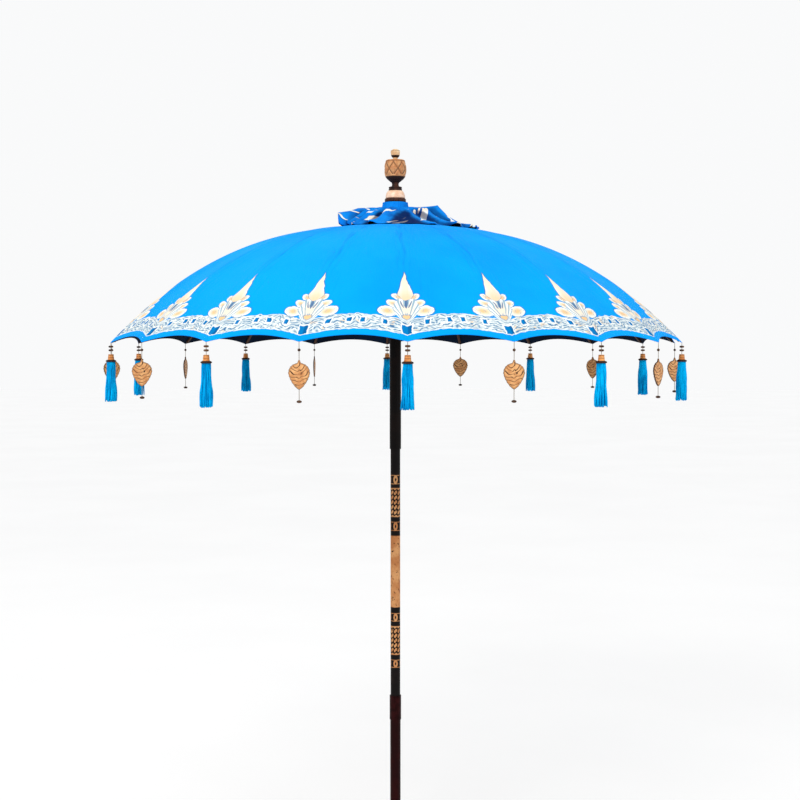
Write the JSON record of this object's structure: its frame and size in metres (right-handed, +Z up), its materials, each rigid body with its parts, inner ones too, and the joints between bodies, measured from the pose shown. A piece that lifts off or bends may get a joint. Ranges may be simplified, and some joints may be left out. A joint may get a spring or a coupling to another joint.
{
  "type": "garden parasol",
  "caption": "Tall domed cloth parasol on a two-part pole, with painted hem band, hanging tassels and leaf drops, a sliding runner and a turned finial.",
  "frame": {"origin": "centre of the lower pole's foot", "axes": "+Z up the pole; rib 1 points along -Y, towards the front"},
  "size_m": [2.0525, 2.038, 2.484],
  "materials": {
    "pole_lacquer": "black-brown lacquer with gilt bands",
    "foot_lacquer": "maroon lacquer",
    "sleeve_metal": "maroon painted metal",
    "gilt_wood": "gilt carved wood",
    "dark_wood": "dark lacquered wood",
    "rib_wood": "dark stained wood",
    "wire": "drawn steel wire",
    "canopy_cloth": "painted cotton",
    "ruffle_cloth": "gathered painted cotton",
    "tassel_yarn": "yarn",
    "cap_wood": "turned wood",
    "leaf_gilt": "gilt carved wood",
    "bead_wood": "dark turned wood",
    "cord": "twisted cord"
  },
  "bodies": {
    "root": {"lower_pole": "foot_lacquer", "pole_sleeve": "sleeve_metal", "upper_pole": "pole_lacquer", "hub": "dark_wood", "hub_wire": "wire", "finial_base": "gilt_wood", "finial_collar": "dark_wood", "finial_bulb": "gilt_wood", "finial_knob": "gilt_wood", "canopy": "canopy_cloth", "canopy_topper": "ruffle_cloth", "tassel_skirts": "tassel_yarn", "tassel_caps": "cap_wood", "leaf_drops": "leaf_gilt", "drop_beads": "bead_wood", "hanging_cords": "cord"},
    "rib_01": {"rib_01": "rib_wood"},
    "rib_02": {"rib_02": "rib_wood"},
    "rib_03": {"rib_03": "rib_wood"},
    "rib_04": {"rib_04": "rib_wood"},
    "rib_05": {"rib_05": "rib_wood"},
    "rib_06": {"rib_06": "rib_wood"},
    "rib_07": {"rib_07": "rib_wood"},
    "rib_08": {"rib_08": "rib_wood"},
    "rib_09": {"rib_09": "rib_wood"},
    "rib_10": {"rib_10": "rib_wood"},
    "rib_11": {"rib_11": "rib_wood"},
    "rib_12": {"rib_12": "rib_wood"},
    "rib_13": {"rib_13": "rib_wood"},
    "rib_14": {"rib_14": "rib_wood"},
    "rib_15": {"rib_15": "rib_wood"},
    "rib_16": {"rib_16": "rib_wood"},
    "rib_17": {"rib_17": "rib_wood"},
    "rib_18": {"rib_18": "rib_wood"},
    "rib_19": {"rib_19": "rib_wood"},
    "rib_20": {"rib_20": "rib_wood"},
    "strut_01": {"strut_01": "rib_wood"},
    "strut_02": {"strut_02": "rib_wood"},
    "strut_03": {"strut_03": "rib_wood"},
    "strut_04": {"strut_04": "rib_wood"},
    "strut_05": {"strut_05": "rib_wood"},
    "strut_06": {"strut_06": "rib_wood"},
    "strut_07": {"strut_07": "rib_wood"},
    "strut_08": {"strut_08": "rib_wood"},
    "strut_09": {"strut_09": "rib_wood"},
    "strut_10": {"strut_10": "rib_wood"},
    "strut_11": {"strut_11": "rib_wood"},
    "strut_12": {"strut_12": "rib_wood"},
    "strut_13": {"strut_13": "rib_wood"},
    "strut_14": {"strut_14": "rib_wood"},
    "strut_15": {"strut_15": "rib_wood"},
    "strut_16": {"strut_16": "rib_wood"},
    "strut_17": {"strut_17": "rib_wood"},
    "strut_18": {"strut_18": "rib_wood"},
    "strut_19": {"strut_19": "rib_wood"},
    "strut_20": {"strut_20": "rib_wood"},
    "runner": {"runner_tube": "pole_lacquer", "runner_head": "dark_wood", "runner_wire": "wire"},
    "lock_pin": {"lock_pin": "wire"}
  },
  "joints": [
    {"name": "fold", "type": "hinge", "parent": "root", "child": "rib_01", "pos_m": [0, -0.034, 2.198], "axis": [1, 0, 0], "range_deg": [0, 62], "deforming": ["canopy", "tassel_skirts", "tassel_caps", "leaf_drops", "drop_beads", "hanging_cords"]},
    {"name": "rib_02_hinge", "type": "hinge", "parent": "root", "child": "rib_02", "pos_m": [0.01051, -0.03234, 2.198], "axis": [0.9511, 0.309, 0], "range_deg": [0, 62]},
    {"name": "rib_03_hinge", "type": "hinge", "parent": "root", "child": "rib_03", "pos_m": [0.01998, -0.02751, 2.198], "axis": [0.809, 0.5878, 0], "range_deg": [0, 62]},
    {"name": "rib_04_hinge", "type": "hinge", "parent": "root", "child": "rib_04", "pos_m": [0.02751, -0.01998, 2.198], "axis": [0.5878, 0.809, 0], "range_deg": [0, 62]},
    {"name": "rib_05_hinge", "type": "hinge", "parent": "root", "child": "rib_05", "pos_m": [0.03234, -0.01051, 2.198], "axis": [0.309, 0.9511, 0], "range_deg": [0, 62]},
    {"name": "rib_06_hinge", "type": "hinge", "parent": "root", "child": "rib_06", "pos_m": [0.034, 0, 2.198], "axis": [0, 1, 0], "range_deg": [0, 62]},
    {"name": "rib_07_hinge", "type": "hinge", "parent": "root", "child": "rib_07", "pos_m": [0.03234, 0.01051, 2.198], "axis": [-0.309, 0.9511, 0], "range_deg": [0, 62]},
    {"name": "rib_08_hinge", "type": "hinge", "parent": "root", "child": "rib_08", "pos_m": [0.02751, 0.01998, 2.198], "axis": [-0.5878, 0.809, 0], "range_deg": [0, 62]},
    {"name": "rib_09_hinge", "type": "hinge", "parent": "root", "child": "rib_09", "pos_m": [0.01998, 0.02751, 2.198], "axis": [-0.809, 0.5878, 0], "range_deg": [0, 62]},
    {"name": "rib_10_hinge", "type": "hinge", "parent": "root", "child": "rib_10", "pos_m": [0.01051, 0.03234, 2.198], "axis": [-0.9511, 0.309, 0], "range_deg": [0, 62]},
    {"name": "rib_11_hinge", "type": "hinge", "parent": "root", "child": "rib_11", "pos_m": [0, 0.034, 2.198], "axis": [-1, 0, 0], "range_deg": [0, 62]},
    {"name": "rib_12_hinge", "type": "hinge", "parent": "root", "child": "rib_12", "pos_m": [-0.01051, 0.03234, 2.198], "axis": [-0.9511, -0.309, 0], "range_deg": [0, 62]},
    {"name": "rib_13_hinge", "type": "hinge", "parent": "root", "child": "rib_13", "pos_m": [-0.01998, 0.02751, 2.198], "axis": [-0.809, -0.5878, 0], "range_deg": [0, 62]},
    {"name": "rib_14_hinge", "type": "hinge", "parent": "root", "child": "rib_14", "pos_m": [-0.02751, 0.01998, 2.198], "axis": [-0.5878, -0.809, 0], "range_deg": [0, 62]},
    {"name": "rib_15_hinge", "type": "hinge", "parent": "root", "child": "rib_15", "pos_m": [-0.03234, 0.01051, 2.198], "axis": [-0.309, -0.9511, 0], "range_deg": [0, 62]},
    {"name": "rib_16_hinge", "type": "hinge", "parent": "root", "child": "rib_16", "pos_m": [-0.034, 0, 2.198], "axis": [0, -1, 0], "range_deg": [0, 62]},
    {"name": "rib_17_hinge", "type": "hinge", "parent": "root", "child": "rib_17", "pos_m": [-0.03234, -0.01051, 2.198], "axis": [0.309, -0.9511, 0], "range_deg": [0, 62]},
    {"name": "rib_18_hinge", "type": "hinge", "parent": "root", "child": "rib_18", "pos_m": [-0.02751, -0.01998, 2.198], "axis": [0.5878, -0.809, 0], "range_deg": [0, 62]},
    {"name": "rib_19_hinge", "type": "hinge", "parent": "root", "child": "rib_19", "pos_m": [-0.01998, -0.02751, 2.198], "axis": [0.809, -0.5878, 0], "range_deg": [0, 62]},
    {"name": "rib_20_hinge", "type": "hinge", "parent": "root", "child": "rib_20", "pos_m": [-0.01051, -0.03234, 2.198], "axis": [0.9511, -0.309, 0], "range_deg": [0, 62]},
    {"name": "strut_01_hinge", "type": "hinge", "parent": "rib_01", "child": "strut_01", "pos_m": [0, -0.55, 2.10436], "axis": [1, 0, 0], "range_deg": [-124, 0]},
    {"name": "strut_02_hinge", "type": "hinge", "parent": "rib_02", "child": "strut_02", "pos_m": [0.16996, -0.52308, 2.10436], "axis": [0.9511, 0.309, 0], "range_deg": [-124, 0]},
    {"name": "strut_03_hinge", "type": "hinge", "parent": "rib_03", "child": "strut_03", "pos_m": [0.32328, -0.44496, 2.10436], "axis": [0.809, 0.5878, 0], "range_deg": [-124, 0]},
    {"name": "strut_04_hinge", "type": "hinge", "parent": "rib_04", "child": "strut_04", "pos_m": [0.44496, -0.32328, 2.10436], "axis": [0.5878, 0.809, 0], "range_deg": [-124, 0]},
    {"name": "strut_05_hinge", "type": "hinge", "parent": "rib_05", "child": "strut_05", "pos_m": [0.52308, -0.16996, 2.10436], "axis": [0.309, 0.9511, 0], "range_deg": [-124, 0]},
    {"name": "strut_06_hinge", "type": "hinge", "parent": "rib_06", "child": "strut_06", "pos_m": [0.55, 0, 2.10436], "axis": [0, 1, 0], "range_deg": [-124, 0]},
    {"name": "strut_07_hinge", "type": "hinge", "parent": "rib_07", "child": "strut_07", "pos_m": [0.52308, 0.16996, 2.10436], "axis": [-0.309, 0.9511, 0], "range_deg": [-124, 0]},
    {"name": "strut_08_hinge", "type": "hinge", "parent": "rib_08", "child": "strut_08", "pos_m": [0.44496, 0.32328, 2.10436], "axis": [-0.5878, 0.809, 0], "range_deg": [-124, 0]},
    {"name": "strut_09_hinge", "type": "hinge", "parent": "rib_09", "child": "strut_09", "pos_m": [0.32328, 0.44496, 2.10436], "axis": [-0.809, 0.5878, 0], "range_deg": [-124, 0]},
    {"name": "strut_10_hinge", "type": "hinge", "parent": "rib_10", "child": "strut_10", "pos_m": [0.16996, 0.52308, 2.10436], "axis": [-0.9511, 0.309, 0], "range_deg": [-124, 0]},
    {"name": "strut_11_hinge", "type": "hinge", "parent": "rib_11", "child": "strut_11", "pos_m": [0, 0.55, 2.10436], "axis": [-1, 0, 0], "range_deg": [-124, 0]},
    {"name": "strut_12_hinge", "type": "hinge", "parent": "rib_12", "child": "strut_12", "pos_m": [-0.16996, 0.52308, 2.10436], "axis": [-0.9511, -0.309, 0], "range_deg": [-124, 0]},
    {"name": "strut_13_hinge", "type": "hinge", "parent": "rib_13", "child": "strut_13", "pos_m": [-0.32328, 0.44496, 2.10436], "axis": [-0.809, -0.5878, 0], "range_deg": [-124, 0]},
    {"name": "strut_14_hinge", "type": "hinge", "parent": "rib_14", "child": "strut_14", "pos_m": [-0.44496, 0.32328, 2.10436], "axis": [-0.5878, -0.809, 0], "range_deg": [-124, 0]},
    {"name": "strut_15_hinge", "type": "hinge", "parent": "rib_15", "child": "strut_15", "pos_m": [-0.52308, 0.16996, 2.10436], "axis": [-0.309, -0.9511, 0], "range_deg": [-124, 0]},
    {"name": "strut_16_hinge", "type": "hinge", "parent": "rib_16", "child": "strut_16", "pos_m": [-0.55, 0, 2.10436], "axis": [0, -1, 0], "range_deg": [-124, 0]},
    {"name": "strut_17_hinge", "type": "hinge", "parent": "rib_17", "child": "strut_17", "pos_m": [-0.52308, -0.16996, 2.10436], "axis": [0.309, -0.9511, 0], "range_deg": [-124, 0]},
    {"name": "strut_18_hinge", "type": "hinge", "parent": "rib_18", "child": "strut_18", "pos_m": [-0.44496, -0.32328, 2.10436], "axis": [0.5878, -0.809, 0], "range_deg": [-124, 0]},
    {"name": "strut_19_hinge", "type": "hinge", "parent": "rib_19", "child": "strut_19", "pos_m": [-0.32328, -0.44496, 2.10436], "axis": [0.809, -0.5878, 0], "range_deg": [-124, 0]},
    {"name": "strut_20_hinge", "type": "hinge", "parent": "rib_20", "child": "strut_20", "pos_m": [-0.16996, -0.52308, 2.10436], "axis": [0.9511, -0.309, 0], "range_deg": [-124, 0]},
    {"name": "runner_hinge", "type": "hinge", "parent": "strut_01", "child": "runner", "pos_m": [0, -0.034, 2.01072], "axis": [1, 0, 0], "range_deg": [0, 62]},
    {"name": "lock_slide", "type": "slide", "parent": "runner", "child": "lock_pin", "axis": [0, -1, 0], "range_m": [0, 0.012]}
  ],
  "couplings": [
    {"joint": "rib_02_hinge", "follows": "fold", "ratio": 1},
    {"joint": "rib_03_hinge", "follows": "fold", "ratio": 1},
    {"joint": "rib_04_hinge", "follows": "fold", "ratio": 1},
    {"joint": "rib_05_hinge", "follows": "fold", "ratio": 1},
    {"joint": "rib_06_hinge", "follows": "fold", "ratio": 1},
    {"joint": "rib_07_hinge", "follows": "fold", "ratio": 1},
    {"joint": "rib_08_hinge", "follows": "fold", "ratio": 1},
    {"joint": "rib_09_hinge", "follows": "fold", "ratio": 1},
    {"joint": "rib_10_hinge", "follows": "fold", "ratio": 1},
    {"joint": "rib_11_hinge", "follows": "fold", "ratio": 1},
    {"joint": "rib_12_hinge", "follows": "fold", "ratio": 1},
    {"joint": "rib_13_hinge", "follows": "fold", "ratio": 1},
    {"joint": "rib_14_hinge", "follows": "fold", "ratio": 1},
    {"joint": "rib_15_hinge", "follows": "fold", "ratio": 1},
    {"joint": "rib_16_hinge", "follows": "fold", "ratio": 1},
    {"joint": "rib_17_hinge", "follows": "fold", "ratio": 1},
    {"joint": "rib_18_hinge", "follows": "fold", "ratio": 1},
    {"joint": "rib_19_hinge", "follows": "fold", "ratio": 1},
    {"joint": "rib_20_hinge", "follows": "fold", "ratio": 1},
    {"joint": "strut_01_hinge", "follows": "fold", "ratio": -2},
    {"joint": "strut_02_hinge", "follows": "fold", "ratio": -2},
    {"joint": "strut_03_hinge", "follows": "fold", "ratio": -2},
    {"joint": "strut_04_hinge", "follows": "fold", "ratio": -2},
    {"joint": "strut_05_hinge", "follows": "fold", "ratio": -2},
    {"joint": "strut_06_hinge", "follows": "fold", "ratio": -2},
    {"joint": "strut_07_hinge", "follows": "fold", "ratio": -2},
    {"joint": "strut_08_hinge", "follows": "fold", "ratio": -2},
    {"joint": "strut_09_hinge", "follows": "fold", "ratio": -2},
    {"joint": "strut_10_hinge", "follows": "fold", "ratio": -2},
    {"joint": "strut_11_hinge", "follows": "fold", "ratio": -2},
    {"joint": "strut_12_hinge", "follows": "fold", "ratio": -2},
    {"joint": "strut_13_hinge", "follows": "fold", "ratio": -2},
    {"joint": "strut_14_hinge", "follows": "fold", "ratio": -2},
    {"joint": "strut_15_hinge", "follows": "fold", "ratio": -2},
    {"joint": "strut_16_hinge", "follows": "fold", "ratio": -2},
    {"joint": "strut_17_hinge", "follows": "fold", "ratio": -2},
    {"joint": "strut_18_hinge", "follows": "fold", "ratio": -2},
    {"joint": "strut_19_hinge", "follows": "fold", "ratio": -2},
    {"joint": "strut_20_hinge", "follows": "fold", "ratio": -2},
    {"joint": "runner_hinge", "follows": "fold", "ratio": 1}
  ]
}
